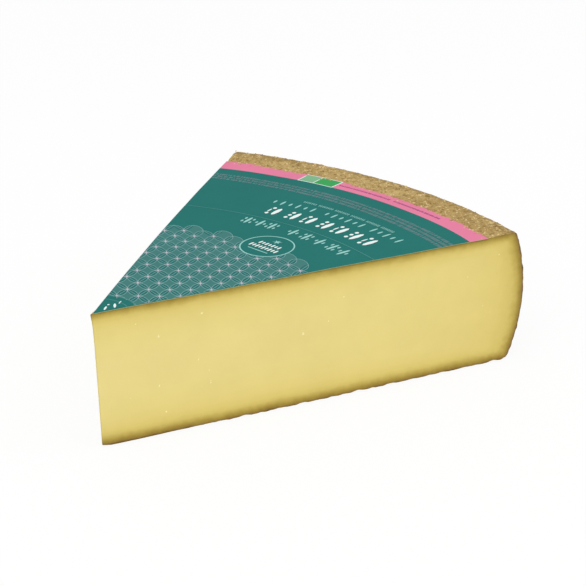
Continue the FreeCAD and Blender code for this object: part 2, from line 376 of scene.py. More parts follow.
def split_rim(bm, points, across):
    """Add a vertex to the open rim in this upright plane wherever the cut face's edge has one."""
    rim = [edge for edge in bm.edges if edge.is_boundary and edge.calc_length() > 1e-5
           and all(abs(vert.co.dot(across)) < 1e-5 for vert in edge.verts)]
    for edge in rim:
        start, end = edge.verts
        line = end.co - start.co
        inside = []
        for point in points:
            share = (point - start.co).dot(line) / line.length_squared
            if 0.0 < share < 1.0 and (point - start.co - share * line).length < 1e-5:
                if min(share, 1.0 - share) * line.length > 3e-6:
                    inside.append((share, point))
        for _, point in sorted(inside, key=lambda pair: pair[0]):
            share = (point - start.co).length / (end.co - start.co).length
            edge, start = bmesh.utils.edge_split(edge, start, share)
            edge = next(other for other in start.link_edges if other.other_vert(start) is end)


def build_wedge_mesh():
    """The rind as a section turned about the tip, closed by two finely divided cut faces."""
    wedge = settings("wedge")
    bm = section_outline(settings("paper").radius - 5 * MM)
    cap, rim = cut_face(bm)
    arc_length = reach(wedge.wedge_angle / 2, wedge.wheel_radius) * wedge.wedge_angle
    bmesh.ops.spin(bm, geom=bm.verts[:] + bm.edges[:], cent=(0, 0, 0), axis=(0, 0, 1),
                   angle=wedge.wedge_angle, steps=round(arc_length / wedge.rind_pitch))
    for face in bm.faces:
        face.material_index = RIND
    for angle in (0.0, wedge.wedge_angle):
        turned = Matrix.Rotation(angle, 4, "Z")
        split_rim(bm, [turned @ point for point in rim], turned @ Vector((0, 1, 0)))
        mesh = cap.copy()
        mesh.transform(turned)
        bm.from_mesh(mesh)
        bpy.data.meshes.remove(mesh)
    bpy.data.meshes.remove(cap)
    bmesh.ops.remove_doubles(bm, verts=bm.verts[:], dist=3e-6)
    unfan(bm)
    bmesh.ops.recalc_face_normals(bm, faces=bm.faces[:])
    if any(not edge.is_manifold for edge in bm.edges):
        raise RuntimeError("the wedge is not closed")
    return bm


def cut_normals():
    """Outward normals of the first and the second cut, before the second one's bow."""
    turn = settings("wedge").wedge_angle
    return Vector((0.0, -1.0, 0.0)), Vector((-math.sin(turn), math.cos(turn), 0.0))


def fade(distance, millimetres):
    """1 at no distance, and less and less over this many millimetres."""
    return math.exp(-distance / (millimetres * MM))


def rind_depths(place):
    """How deep a place lies under the bottom, the top and the heel."""
    top = top_height(place.x, place.y) - place.z
    heel = heel_distance(place.z) - wheel_distance(place.x, place.y)
    return place.z, top, heel


def grain_height(place):
    """Grain of the rind at this place, from about -1 to 1."""
    lumps = noise.noise(place / (11 * MM))
    grains = noise.noise(place / (4.2 * MM) + Vector((3.0, 7.0, 1.0)))
    grit = noise.noise(place / (2.1 * MM) + Vector((9.0, 2.0, 5.0)))
    return 0.9 * lumps + 0.8 * grains + 0.5 * grit


def grain_move(place, depths, out):
    """Where the grain carries a point of the rind. The underside only gets hollows."""
    grain = grain_height(place)
    past_paper = wheel_distance(place.x, place.y) - settings("paper").radius
    bare = min(1.0, max(0.0, past_paper / (2 * MM) + 1))
    sides = ((Vector((0, 0, 1)), 0.35 * abs(grain)),
             (Vector((0, 0, 1)), bare * (grain - 0.3)),
             (out, grain + 0.5))
    weights = [fade(depth, 1.2) for depth in depths]
    move = Vector()
    for weight, (side, height) in zip(weights, sides):
        move += side * weight * height
    return move * settings("wedge").grit / max(1.0, sum(weights))


def rim_swelling(x, y, depth, out):
    """How far the rind has swollen up and outwards beside the paper's edge, deep places less."""
    wedge = settings("wedge")
    share = min(1.0, max(0.0, math.atan2(y, x) / wedge.wedge_angle))
    rise = wedge.rim_rise + wedge.rim_gain * share
    paper_edge = settings("paper").radius + 2.5 * MM * smooth_step(0.6, 0.95, share)
    beside = smooth_step(paper_edge, paper_edge + 14 * MM, wheel_distance(x, y))
    return rise * (Vector((0, 0, 1)) + (0.4 + 0.8 * share) * out) * beside * fade(depth, 9)


def cut_standing(place, from_tip, depths):
    """How far a cut face stands out here: soft waves, a crumbled edge and a spreading foot."""
    soft = 0.10 * noise.noise(place / (22 * MM)) + 0.05 * noise.noise(place / (6 * MM))
    crumble = 0.45 * fade(max(0.0, min(depths)), 0.7) * (1 + noise.noise(place / (3.5 * MM)))
    past_tip = smooth_step(40 * MM, 110 * MM, from_tip)
    return (soft - crumble) * MM + settings("wedge").foot * fade(depths[0], 10) * past_tip


def wear_move(place, depths, out):
    """Where wear has carried a point at the lower edges, the heel's corners or the tip's foot."""
    wedge = settings("wedge")
    bottom, top, heel = (max(0.0, depth) for depth in depths)
    up = Vector((0, 0, 1))
    second = cut_normals()[1]
    from_second = -place.dot(second)
    from_tip = place.xy.length
    chips = max(0.0, noise.noise(Vector((place.x, place.y, 0.0)) / (8 * MM)) + 0.15)
    chips *= fade(min(place.y, from_second), 2.5) * smooth_step(30 * MM, 90 * MM, from_tip)
    heel_corner = wedge.heel_wear * fade(heel, 2)
    back_corner = wedge.heel_wear * fade(from_second, 3) * fade(top, 4) * fade(heel, 4)
    tip_corner = wedge.heel_wear * fade(from_tip, 3) * fade(bottom, 3)
    return (up * ((wedge.edge_wear * chips + heel_corner) * fade(bottom, 2) + tip_corner)
            - out * 0.6 * heel_corner * (fade(bottom, 2.5) + 0.7 * fade(top, 2.5))
            - (up + 1.2 * second) * back_corner)


def tip_move(place, depths):
    """Where a point near the tip goes: a lip at the top, and a slight lean outwards."""
    from_tip = place.xy.length
    if from_tip > 12 * MM:
        return Vector()
    share = place.z / fan_top(wheel_distance(place.x, place.y))
    lip = settings("wedge").tip_lip * fade(from_tip, 2.5) * fade(depths[1], 5)
    lean = 0.5 * MM * fade(from_tip, 6) * share
    return Vector((-lip - lean, -0.3 * lip, 0.0))


def roughen(bm):
    """Give the rind its grain and wear, the cuts their slight unevenness, and the tip its lip."""
    wedge = settings("wedge")
    normals = cut_normals()
    on_cut = {}
    for face in bm.faces:
        if face.material_index == PASTE:
            side = 0 if face.normal.y < -0.9 else 1
            for vert in face.verts:
                on_cut.setdefault(vert, set()).add(side)
    for vert in bm.verts:
        x, y, z = vert.co
        place = Vector((x, y, z * top_height(x, y) / fan_top(wheel_distance(x, y))))
        out = Vector((x + tip_reach(), y + wedge.cut_offset, 0.0)).normalized()
        depths = rind_depths(place)
        spot = place + grain_move(place, depths, out) + rim_swelling(x, y, depths[1], out)
        if vert in on_cut:
            standing = cut_standing(spot, place.xy.length, depths)
            spot += standing * sum((normals[side] for side in on_cut[vert]), Vector())
        spot += wear_move(place, depths, out) + tip_move(place, depths)
        vert.co = *bow(spot.x, spot.y), spot.z


# ---------------------------------------------------------------- flat print


def bar(bm, x, y, turn, length, width, lift=0.0):
    """A flat bar in plan, its length turned this far from +X."""
    place = (Matrix.Translation((x, y, lift)) @ Matrix.Rotation(turn, 4, "Z")
             @ Matrix.Diagonal((length, width, 1, 1)))
    bmesh.ops.create_grid(bm, x_segments=1, y_segments=1, size=0.5, matrix=place)


def lozenge(bm, x, y, turn, length, width, lift=0.0, corners=4):
    """A flat lozenge or, with more corners, an oval."""
    place = (Matrix.Translation((x, y, lift)) @ Matrix.Rotation(turn, 4, "Z")
             @ Matrix.Diagonal((length / 2, width / 2, 1, 1)))
    bmesh.ops.create_circle(bm, cap_ends=True, radius=1.0, segments=corners, matrix=place)


def leaf(bm, x, y, turn, length, width):
    """A small flat oval, its length and width given in millimetres."""
    lozenge(bm, x, y, turn, length * MM, width * MM, corners=8)


def arc(bm, x, y, radius, start, turn, width, pieces, lift=0.0):
    """A flat band along part of a circle."""
    ends = [bm.verts.new((x + size * math.cos(start), y + size * math.sin(start), lift))
            for size in (radius - width / 2, radius + width / 2)]
    edge = bm.edges.new(ends)
    bmesh.ops.spin(bm, geom=ends + [edge], cent=(x, y, lift), axis=(0, 0, 1), angle=turn, steps=pieces)


def repeat(pattern, spots):
    """A new mesh with this pattern laid round every spot. The pattern is used up."""
    mesh = bpy.data.meshes.new("pattern")
    pattern.to_mesh(mesh)
    pattern.free()
    bm = bmesh.new()
    for spot in spots:
        mesh.transform(Matrix.Translation((spot.x, spot.y, 0.0)))
        bm.from_mesh(mesh)
        mesh.transform(Matrix.Translation((-spot.x, -spot.y, 0.0)))
    bpy.data.meshes.remove(mesh)
    return bm


def trim_to_paper(bm):
    """Cut flat print off along the two straight cuts, a margin inside them."""
    for normal in cut_normals():
        bmesh.ops.bisect_plane(bm, geom=bm.verts[:] + bm.edges[:] + bm.faces[:], dist=1e-7,
                               plane_co=-normal * PRINT_MARGIN, plane_no=normal, clear_outer=True)


def lay_on_paper(bm, thickness, raised=False):
    """Give flat print its thickness and lay it on the paper, or on the print that is already there."""
    bmesh.ops.remove_doubles(bm, verts=bm.verts[:], dist=1e-7)
    loose = [vert for vert in bm.verts if not vert.link_faces]
    bmesh.ops.delete(bm, geom=loose, context="VERTS")
    for face in bm.faces:
        if face.normal.z < 0:
            face.normal_flip()
    if raised:
        bmesh.ops.translate(bm, verts=bm.verts[:], vec=(0.0, 0.0, 2 * thickness))
    upper = bmesh.ops.extrude_face_region(bm, geom=bm.faces[:], use_keep_orig=True)["geom"]
    for vert in [item for item in upper if isinstance(item, bmesh.types.BMVert)]:
        vert.co.z += thickness
    bmesh.ops.recalc_face_normals(bm, faces=bm.faces[:])
    paper = settings("paper")
    for vert in bm.verts:
        x, y, z = vert.co
        vert.co.z = top_height(x, y) + paper.thickness + z
        vert.co.x, vert.co.y = bow(x, y)


def add(bm, other):
    """Put another mesh into this one. The other is used up."""
    mesh = bpy.data.meshes.new("addition")
    other.to_mesh(mesh)
    other.free()
    bm.from_mesh(mesh)
    bpy.data.meshes.remove(mesh)


def row_place(radius, degrees):
    """A place in plan on a row of print, and the direction of its radius."""
    marks = settings("print")
    turn = math.radians(degrees)
    return (-marks.rows_back + radius * math.cos(turn),
            -marks.rows_aside + radius * math.sin(turn), turn)


def rim_place(radius, degrees):
    """A place in plan on a circle about the wheel's axis, and the direction of its radius."""
    turn = math.radians(degrees)
    return (-tip_reach() + radius * math.cos(turn),
            -settings("wedge").cut_offset + radius * math.sin(turn), turn)


def seal_place(out=0.0, aside=0.0):
    """A place this many millimetres out and aside of the seal's middle, and the outward direction."""
    marks = settings("print")
    middle = Vector(marks.seal_middle)
    turn = math.atan2(middle.y + marks.rows_aside, middle.x + marks.rows_back)
    spot = middle + Matrix.Rotation(turn, 2) @ Vector((out, aside)) * MM
    return spot.x, spot.y, turn


def stroke_row(bm, draw, radius, start, stop, widths, lengths, gaps, blank=None):
    """Fine strokes along a circle about the wheel's axis, between two angles in degrees.

    Widths and lengths are in millimetres and gaps in degrees. A wide gap follows the blank's angle.
    """
    degrees = start
    while degrees < stop:
        width = draw.choice(widths) * MM
        bar(bm, *rim_place(radius, degrees), draw.uniform(*lengths) * MM, width)
        degrees += math.degrees(width / radius) + draw.choice(gaps)
        if blank is not None and abs(degrees - blank) < 0.12:
            degrees += 0.7


# ---------------------------------------------------------------- materials


def new_material(name):
    """An empty material with its output node."""
    material = bpy.data.materials.new(name)
    material.use_nodes = True
    material.node_tree.nodes.clear()
    return material, material.node_tree


def node(tree, kind, **values):
    """Add a node, and set its properties and the unlinked inputs that are named."""
    made = tree.nodes.new(kind)
    for name, value in values.items():
        if name in made.inputs:
            made.inputs[name].default_value = value
        else:
            setattr(made, name, value)
    return made


def math_node(tree, operation, first, second=0.0, third=0.0):
    """A Math node whose operands are sockets or numbers."""
    made = tree.nodes.new("ShaderNodeMath")
    made.operation = operation
    for socket, value in zip(made.inputs, (first, second, third)):
        if isinstance(value, bpy.types.NodeSocket):
            tree.links.new(value, socket)
        else:
            socket.default_value = value
    return made.outputs[0]


def mix_colours(tree, share, first, second, blend="MIX"):
    """A Mix node for colours. Operands are sockets, numbers or linear colours."""
    made = tree.nodes.new("ShaderNodeMix")
    made.data_type = "RGBA"
    made.blend_type = blend
    for socket, value in ((made.inputs[0], share), (made.inputs[6], first), (made.inputs[7], second)):
        if isinstance(value, bpy.types.NodeSocket):
            tree.links.new(value, socket)
        elif isinstance(value, (int, float)):
            socket.default_value = value
        else:
            socket.default_value = (*value, 1.0)
    return made.outputs[2]


def noise_field(tree, vector, millimetres, detail=3.0, roughness=0.55):
    """Noise whose patches are about this many millimetres wide."""
    made = node(tree, "ShaderNodeTexNoise", Scale=1.0 / (millimetres * MM), Detail=detail,
                Roughness=roughness)
    tree.links.new(vector, made.inputs["Vector"])
    return made.outputs["Fac"]


def ramp(tree, value, stops):
    """A colour ramp. Stops are pairs of a place and a linear colour or a grey number."""
    made = tree.nodes.new("ShaderNodeValToRGB")
    elements = made.color_ramp.elements
    while len(elements) < len(stops):
        elements.new(1.0)
    for element, (place, colour) in zip(elements, stops):
        element.position = place
        element.color = (colour, colour, colour, 1.0) if isinstance(colour, float) else (*colour, 1.0)
    tree.links.new(value, made.inputs["Fac"])
    return made.outputs["Color"]


def finish_material(tree, colour, roughness, bump=None, specular=0.4):
    """The Principled shader. A bump is a height socket, its depth in millimetres and its strength."""
    shader = tree.nodes.new("ShaderNodeBsdfPrincipled")
    shader.inputs["Specular IOR Level"].default_value = specular
    tree.links.new(colour, shader.inputs["Base Color"])
    if isinstance(roughness, bpy.types.NodeSocket):
        tree.links.new(roughness, shader.inputs["Roughness"])
    else:
        shader.inputs["Roughness"].default_value = roughness
    if bump is not None:
        height, distance, strength = bump
        relief = node(tree, "ShaderNodeBump", Strength=strength, Distance=distance * MM)
        tree.links.new(height, relief.inputs["Height"])
        tree.links.new(relief.outputs["Normal"], shader.inputs["Normal"])
    output = tree.nodes.new("ShaderNodeOutputMaterial")
    tree.links.new(shader.outputs["BSDF"], output.inputs["Surface"])


def seen_directly(tree):
    """1 where the camera looks, also mirrored or through glass, and 0 where light reaches a piece."""
    path = tree.nodes.new("ShaderNodeLightPath")
    seen = math_node(tree, "MAXIMUM", path.outputs["Is Camera Ray"], path.outputs["Is Glossy Ray"])
    return math_node(tree, "MAXIMUM", seen, path.outputs["Is Transmission Ray"])


def blend_shaders(tree, share, first, second, output):
    """Send the first shader to the output, or the second where the share is 1."""
    blend = tree.nodes.new("ShaderNodeMixShader")
    for source, socket in zip((share, first.outputs[0], second.outputs[0]), blend.inputs):
        tree.links.new(source, socket)
    tree.links.new(blend.outputs[0], tree.nodes.new(output).inputs["Surface"])


def place_in_object(tree):
    """The place on the piece, in metres of the fixed frame."""
    return tree.nodes.new("ShaderNodeTexCoord").outputs["Object"]


def new_group(name, outputs):
    """A node group that reads a place. Returns it, the place's socket and its output node."""
    group = bpy.data.node_groups.new(name, "ShaderNodeTree")
    group.interface.new_socket("Place", in_out="INPUT", socket_type="NodeSocketVector")
    for output in outputs:
        group.interface.new_socket(output, in_out="OUTPUT", socket_type="NodeSocketFloat")
    place = group.nodes.new("NodeGroupInput").outputs["Place"]
    return group, place, group.nodes.new("NodeGroupOutput")


def use_group(tree, build, name, place):
    """Put the node group of this name into a material. It is built where it is first used."""
    made = node(tree, "ShaderNodeGroup", node_tree=bpy.data.node_groups.get(name) or build(name))
    tree.links.new(place, made.inputs["Place"])
    return made.outputs


def depth_group(name):
    """How deep a place lies under the bottom, the top and the heel, in millimetres."""
    wedge = settings("wedge")
    group, place, target = new_group(name, ("Bottom", "Top", "Heel"))
    split = group.nodes.new("ShaderNodeSeparateXYZ")
    group.links.new(place, split.inputs[0])
    x = math_node(group, "SUBTRACT", split.outputs["X"], TIP.x - tip_reach())
    y = math_node(group, "SUBTRACT", split.outputs["Y"], TIP.y - wedge.cut_offset)
    z = split.outputs["Z"]
    square = math_node(group, "MULTIPLY_ADD", x, x, math_node(group, "MULTIPLY", y, y))
    distance = math_node(group, "SQRT", square)
    group.links.new(math_node(group, "DIVIDE", z, MM), target.inputs["Bottom"])
    middle = PAPER_LOW.z - top_slope() * wheel_distance(0.0, 0.0)
    top = math_node(group, "MULTIPLY_ADD", distance, top_slope(), middle)
    under = math_node(group, "SUBTRACT", top, z)
    group.links.new(math_node(group, "DIVIDE", under, MM), target.inputs["Top"])
    arc_radius, arc_centre = heel_arc()
    rise = math_node(group, "SUBTRACT", z, wedge.belly_height)
    square = math_node(group, "SUBTRACT", arc_radius ** 2, math_node(group, "MULTIPLY", rise, rise))
    surface = math_node(group, "ADD", math_node(group, "SQRT", square), arc_centre)
    inside = math_node(group, "SUBTRACT", surface, distance)
    group.links.new(math_node(group, "DIVIDE", inside, MM), target.inputs["Heel"])
    return group


def paper_group(name):
    """How rubbed and how rough the paper is at a place, and the height of its fibres."""
    group, place, target = new_group(name, ("Rubbed", "Roughness", "Fibre"))
    rubbed = noise_field(group, place, 35.0, detail=3.0)
    fibre = noise_field(group, place, 0.8, detail=4.0)
    group.links.new(ramp(group, rubbed, [(0.3, 0.95), (0.7, 1.0)]), target.inputs["Rubbed"])
    group.links.new(ramp(group, fibre, [(0.3, 0.66), (0.7, 0.78)]), target.inputs["Roughness"])
    group.links.new(fibre, target.inputs["Fibre"])
    return group


def paste_material():
    """Pale paste that darkens towards the rind, with the rind's own brown line at its edge."""
    wedge = settings("wedge")
    material, tree = new_material("paste")
    place = place_in_object(tree)
    depth = use_group(tree, depth_group, "Depth under the rind", place)
    top = math_node(tree, "MULTIPLY_ADD", depth["Top"], 1.02, 1.6)
    heel = math_node(tree, "MAXIMUM", depth["Heel"], 0.0)
    heel = math_node(tree, "MINIMUM", math_node(tree, "MULTIPLY", heel, 0.92),
                     math_node(tree, "MULTIPLY", math_node(tree, "POWER", heel, 0.55), 1.9))
    nearest = math_node(tree, "SMOOTH_MIN", depth["Bottom"], top, 3.0)
    nearest = math_node(tree, "SMOOTH_MIN", nearest, heel, 3.0)
    ragged = math_node(tree, "SUBTRACT", noise_field(tree, place, 5.0), 0.5)
    waver = math_node(tree, "SUBTRACT", noise_field(tree, place, 30.0), 0.5)
    nearest = math_node(tree, "MULTIPLY_ADD", ragged, 2.4, nearest)
    nearest = math_node(tree, "MULTIPLY_ADD", waver, 2.0, nearest)
    colours = ramp(tree, math_node(tree, "DIVIDE", nearest, 40.0), [
        (0.0, srgb(112, 84, 38)),
        (0.022, srgb(142, 115, 52)),
        (0.045, srgb(155, 129, 57)),
        (0.068, srgb(165, 141, 62)),
        (0.09, srgb(176, 153, 71)),
        (0.125, srgb(194, 172, 88)),
        (0.175, srgb(214, 193, 108)),
        (0.24, srgb(223, 203, 119)),
        (0.34, srgb(227, 208, 127)),
        (0.5, srgb(230, 212, 133)),
        (0.875, tuple(wedge.paste_colour))])
    mottle = noise_field(tree, place, 22.0, detail=2.0)
    shade = ramp(tree, mottle, [(0.3, 0.965), (0.7, 1.0)])
    colours = mix_colours(tree, 1.0, colours, shade, "MULTIPLY")
    fine = noise_field(tree, place, 1.6, detail=4.0)
    finish_material(tree, colours, 0.46, bump=(fine, 0.12, 0.35), specular=0.12)
    return material


def rind_material():
    """Dry granular rind: straw, ochre and brown in patches and grains, darker on the heel and where the top
    turns down to it, partly the heel's browner rind and partly painted shade of the rounding.
    """
    wedge = settings("wedge")
    material, tree = new_material("rind")
    place = place_in_object(tree)
    patches = noise_field(tree, place, 26.0, detail=4.0, roughness=0.6)
    grains = noise_field(tree, place, 3.4, detail=5.0, roughness=0.68)
    fine = noise_field(tree, place, 1.1, detail=4.0, roughness=0.7)
    base = mix_colours(tree, ramp(tree, patches, [(0.35, 0.0), (0.68, 1.0)]),
                       tuple(wedge.rind_colour), srgb(204, 176, 116))
    dark = ramp(tree, grains, [(0.30, 1.0), (0.50, 0.0)])
    base = mix_colours(tree, dark, base, tuple(wedge.rind_dark_colour))
    pale = ramp(tree, fine, [(0.56, 0.0), (0.72, 1.0)])
    base = mix_colours(tree, math_node(tree, "MULTIPLY", pale, 0.6), base, tuple(wedge.rind_pale_colour))
    depth = use_group(tree, depth_group, "Depth under the rind", place)
    # Partly painted shade: the heel and the rounded edge where the top turns down are mixed towards brown
    # (142, 114, 66). This is partly the heel's browner rind and partly painted shade of the rounding.
    edge = math_node(tree, "MULTIPLY_ADD", patches, 8.0, depth["Heel"])
    rim = ramp(tree, math_node(tree, "DIVIDE", edge, 20.0), [(0.26, 1.0), (0.56, 0.0)])
    base = mix_colours(tree, math_node(tree, "MULTIPLY", rim, 0.55), base, srgb(142, 114, 66))
    height = math_node(tree, "ADD", grains, math_node(tree, "MULTIPLY", fine, 0.5))
    finish_material(tree, base, 0.85, bump=(height, 0.9, 0.9), specular=0.2)
    return material


def crystal_material():
    """Cloudy white grains."""
    material, tree = new_material("crystal")
    place = place_in_object(tree)
    cloud = noise_field(tree, place, 1.0)
    colour = mix_colours(tree, cloud, tuple(settings("crystal").colour), srgb(238, 222, 150))
    finish_material(tree, colour, 0.4, specular=0.4)
    return material


def flake_material():
    """Dry flakes, from straw to brown."""
    material, tree = new_material("rind_flake")
    place = place_in_object(tree)
    cloud = noise_field(tree, place, 4.0, detail=2.0)
    colour = ramp(tree, cloud, [(0.36, srgb(152, 124, 70)), (0.48, srgb(192, 164, 106)),
                                (0.62, srgb(230, 206, 152))])
    finish_material(tree, colour, 0.8, specular=0.2)
    return material


def paper_material(name, colour):
    """Printed matt paper with a faint fibre and rubbed places."""
    material, tree = new_material(name)
    paper = use_group(tree, paper_group, "Paper wear", place_in_object(tree))
    tint = mix_colours(tree, 1.0, tuple(colour), paper["Rubbed"], "MULTIPLY")
    finish_material(tree, tint, paper["Roughness"], bump=(paper["Fibre"], 0.06, 0.3), specular=0.03)
    return material


# ---------------------------------------------------------------- pieces


def finish_piece(bm, name, materials, smooth=False):
    """Move the mesh from the tip to its place, make the object and let it ride on the part."""
    bmesh.ops.translate(bm, verts=bm.verts[:], vec=TIP)
    mesh = bpy.data.meshes.new(name)
    bm.to_mesh(mesh)
    bm.free()
    for material in materials:
        mesh.materials.append(material)
    for polygon in mesh.polygons:
        polygon.use_smooth = smooth
    piece = bpy.data.objects.new(name, mesh)
    bpy.context.scene.collection.objects.link(piece)
    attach(piece, "root")
    return piece


class CHEESE_OT_wedge(bpy.types.Operator):
    """Make the wedge: paste, rind and their edges"""
    bl_idname = "cheese.wedge"
    bl_label = "Wedge"

    def execute(self, context):
        bm = build_wedge_mesh()
        roughen(bm)
        piece = finish_piece(bm, "wedge", [rind_material(), paste_material()], smooth=True)
        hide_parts("cheese_wedge")
        return {"FINISHED"}


class CHEESE_OT_paper(bpy.types.Operator):
    """Make the sheet of paper on the top face"""
    bl_idname = "cheese.paper"
    bl_label = "Paper"

    def execute(self, context):
        paper = settings("paper")
        bm = self.fan(paper, settings("wedge"))
        for vert in bm.verts:
            self.shift_edges(vert, paper, settings("wedge"))
        unfan(bm)
        raised = bmesh.ops.extrude_face_region(bm, geom=bm.faces[:], use_keep_orig=True)["geom"]
        upper = {item for item in raised if isinstance(item, bmesh.types.BMVert)}
        upper_faces = {item for item in raised if isinstance(item, bmesh.types.BMFace)}
        for face in bm.faces:
            if face not in upper_faces:
                face.material_index = PULP
        for vert in bm.verts:
            x, y, _ = vert.co
            height = top_height(x, y) + (paper.thickness if vert in upper else PAPER_CLEARANCE)
            vert.co = *bow(x, y), height
        bmesh.ops.recalc_face_normals(bm, faces=bm.faces[:])
        materials = [paper_material("paper_teal", paper.teal_colour),
                     paper_material("paper_pink", paper.pink_colour),
                     paper_material("paper_pulp", paper.pulp_colour)]
        piece = finish_piece(bm, "paper", materials)
        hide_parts("paper_label")
        return {"FINISHED"}

    @staticmethod
    def fan(paper, wedge):
        """The sheet as a flat fan round the tip, teal within the disc and pink outside it."""
        bm = bmesh.new()
        distances = [0.0] + steps(0.0, paper.disc_radius, 6 * MM) + [paper.disc_radius]
        distances += steps(paper.disc_radius, paper.radius, 1.5 * MM) + [paper.radius]
        verts = [bm.verts.new((distance, 0.0, 0.0)) for distance in distances]
        for first, second in zip(verts, verts[1:]):
            bm.edges.new((first, second))
        arc_length = reach(wedge.wedge_angle / 2, paper.radius) * wedge.wedge_angle
        bmesh.ops.spin(bm, geom=bm.verts[:] + bm.edges[:], cent=(0, 0, 0), axis=(0, 0, 1),
                       angle=wedge.wedge_angle, steps=round(arc_length / wedge.cut_pitch))
        bmesh.ops.remove_doubles(bm, verts=bm.verts[:], dist=1e-6)
        for face in bm.faces:
            in_band = face.calc_center_median().length > paper.disc_radius
            face.material_index = PINK if in_band else TEAL
            if face.normal.z < 0:
                face.normal_flip()
        return bm

    @staticmethod
    def shift_edges(vert, paper, wedge):
        """Move a point of the fan for the fibrous outer edge, the disc's wave and the overhang."""
        distance = vert.co.length
        angle = math.atan2(vert.co.y, vert.co.x)
        along = max(0.0, angle / wedge.wedge_angle)
        share = max(0.0, (distance - paper.disc_radius) / (paper.radius - paper.disc_radius))
        fibres = noise.noise(Vector((angle * 22, 4.0, 0.0)))
        fibres += 0.6 * noise.noise(Vector((angle * 75, 1.0, 0.0)))
        spread = paper.back_spread * smooth_step(0.78, 0.98, along)
        spread += paper.patch_spread * smooth_step(0.56, 0.60, along) * smooth_step(0.77, 0.73, along)
        near_disc = max(0.0, 1 - abs(distance - paper.disc_radius) / (6 * MM))
        wave = paper.disc_wave * math.sin(math.pi * along ** 0.7) * near_disc
        if distance > 0:
            vert.co *= 1 + ((paper.raggedness * fibres + spread) * share ** 2 + wave) / distance
        if along < 1e-4:
            vert.co.y -= paper.overhang * smooth_step(0.65, 0.45, distance / paper.radius)


class CHEESE_OT_crystals(bpy.types.Operator):
    """Scatter white grains over the two cut faces"""
    bl_idname = "cheese.crystals"
    bl_label = "Crystals"

    def execute(self, context):
        wedge = settings("wedge")
        crystal = settings("crystal")
        draw = random.Random(crystal.seed)
        bm = bmesh.new()
        for angle, normal in zip((0.0, wedge.wedge_angle), cut_normals()):
            length = reach(angle, wedge.wheel_radius)
            for _ in range(crystal.count):
                along = draw.uniform(0.05, 0.93) * length
                height = draw.uniform(0.12, 0.9) * PAPER_LOW.z
                size = crystal.size * draw.uniform(0.35, 1.0) ** 1.5
                x, y = bow(along * math.cos(angle), along * math.sin(angle))
                place = (Matrix.Translation(Vector((x, y, height)) - normal * 0.1 * size)
                         @ Matrix.Rotation(angle, 4, "Z")
                         @ Matrix.Rotation(draw.uniform(-0.5, 0.5), 4, "Y")
                         @ Matrix.Diagonal((size * draw.uniform(0.5, 1.0), size * 0.3,
                                            size * draw.uniform(0.7, 1.5), 1)))
                made = bmesh.ops.create_icosphere(bm, subdivisions=2, radius=0.5, matrix=place)
                for vert in made["verts"]:
                    vert.co += normal * 0.12 * size * noise.noise(vert.co / (0.6 * MM))
        finish_piece(bm, "crystals", [crystal_material()], smooth=True)
        return {"FINISHED"}


class CHEESE_OT_flakes(bpy.types.Operator):
    """Scatter dry flakes over the rind's top ring and heel"""
    bl_idname = "cheese.flakes"
    bl_label = "Rind flakes"

    def execute(self, context):
        flake = settings("flake")
        draw = random.Random(flake.seed)
        bm = bmesh.new()
        for number in range(flake.count):
            self.add_flake(bm, draw, "heel" if number % 4 == 0 else "top")
        for _ in range(flake.edge_count):
            self.add_flake(bm, draw, "paper")
        noise.seed_set(flake.seed)              # or noise_vector is different each time
        for vert in bm.verts:
            vert.co += 0.12 * MM * noise.noise_vector(vert.co / (1.1 * MM))
        finish_piece(bm, "rind_flakes", [flake_material()])
        return {"FINISHED"}

    @staticmethod
    def add_flake(bm, draw, side):
        """One flake on the heel, on the bare top or along the edge of the paper."""
        wedge, paper = settings("wedge"), settings("paper")
        angle = draw.uniform(0.004, 0.996) * wedge.wedge_angle
        if side == "paper":
            radius = draw.triangular(paper.radius - 4.5 * MM, paper.radius + 0.5 * MM, paper.radius)
        elif side == "top":
            radius = draw.uniform(paper.radius - 1.5 * MM, wedge.wheel_radius - 10 * MM)
        else:
            height = draw.uniform(0.04, 0.96) * PAPER_LOW.z
            radius = heel_distance(height)
        length = reach(angle, radius)
        x, y = bow(length * math.cos(angle), length * math.sin(angle))
        if side == "heel":
            tilt = math.asin((height - wedge.belly_height) / heel_arc()[0])
        else:
            tilt = math.pi / 2
            height = top_height(x, y)
        size = settings("flake").size * draw.uniform(0.3, 1.0) ** 1.6
        stand = wedge.grit * (grain_height(Vector((x, y, height))) - 0.3)
        if side == "paper":
            size *= 0.7
            stand = paper.thickness
        outward = math.atan2(y + wedge.cut_offset, x + tip_reach())
        out = Vector((math.cos(outward), math.sin(outward), 0.0))
        normal = out * math.cos(tilt) + Vector((0.0, 0.0, math.sin(tilt)))
        spot = Vector((x, y, height)) + normal * (stand + 0.04 * size)
        spot += rim_swelling(x, y, top_height(x, y) - height, out)
        place = (Matrix.Translation(spot)
                 @ Matrix.Rotation(outward, 4, "Z") @ Matrix.Rotation(math.pi / 2 - tilt, 4, "Y")
                 @ Matrix.Rotation(draw.uniform(0, math.pi), 4, "Z")
                 @ Matrix.Rotation(draw.uniform(-0.35, 0.35), 4, "X")
                 @ Matrix.Diagonal((size, size * draw.uniform(0.3, 0.7), size * 0.28, 1)))
        bmesh.ops.create_icosphere(bm, subdivisions=1, radius=0.5, matrix=place)


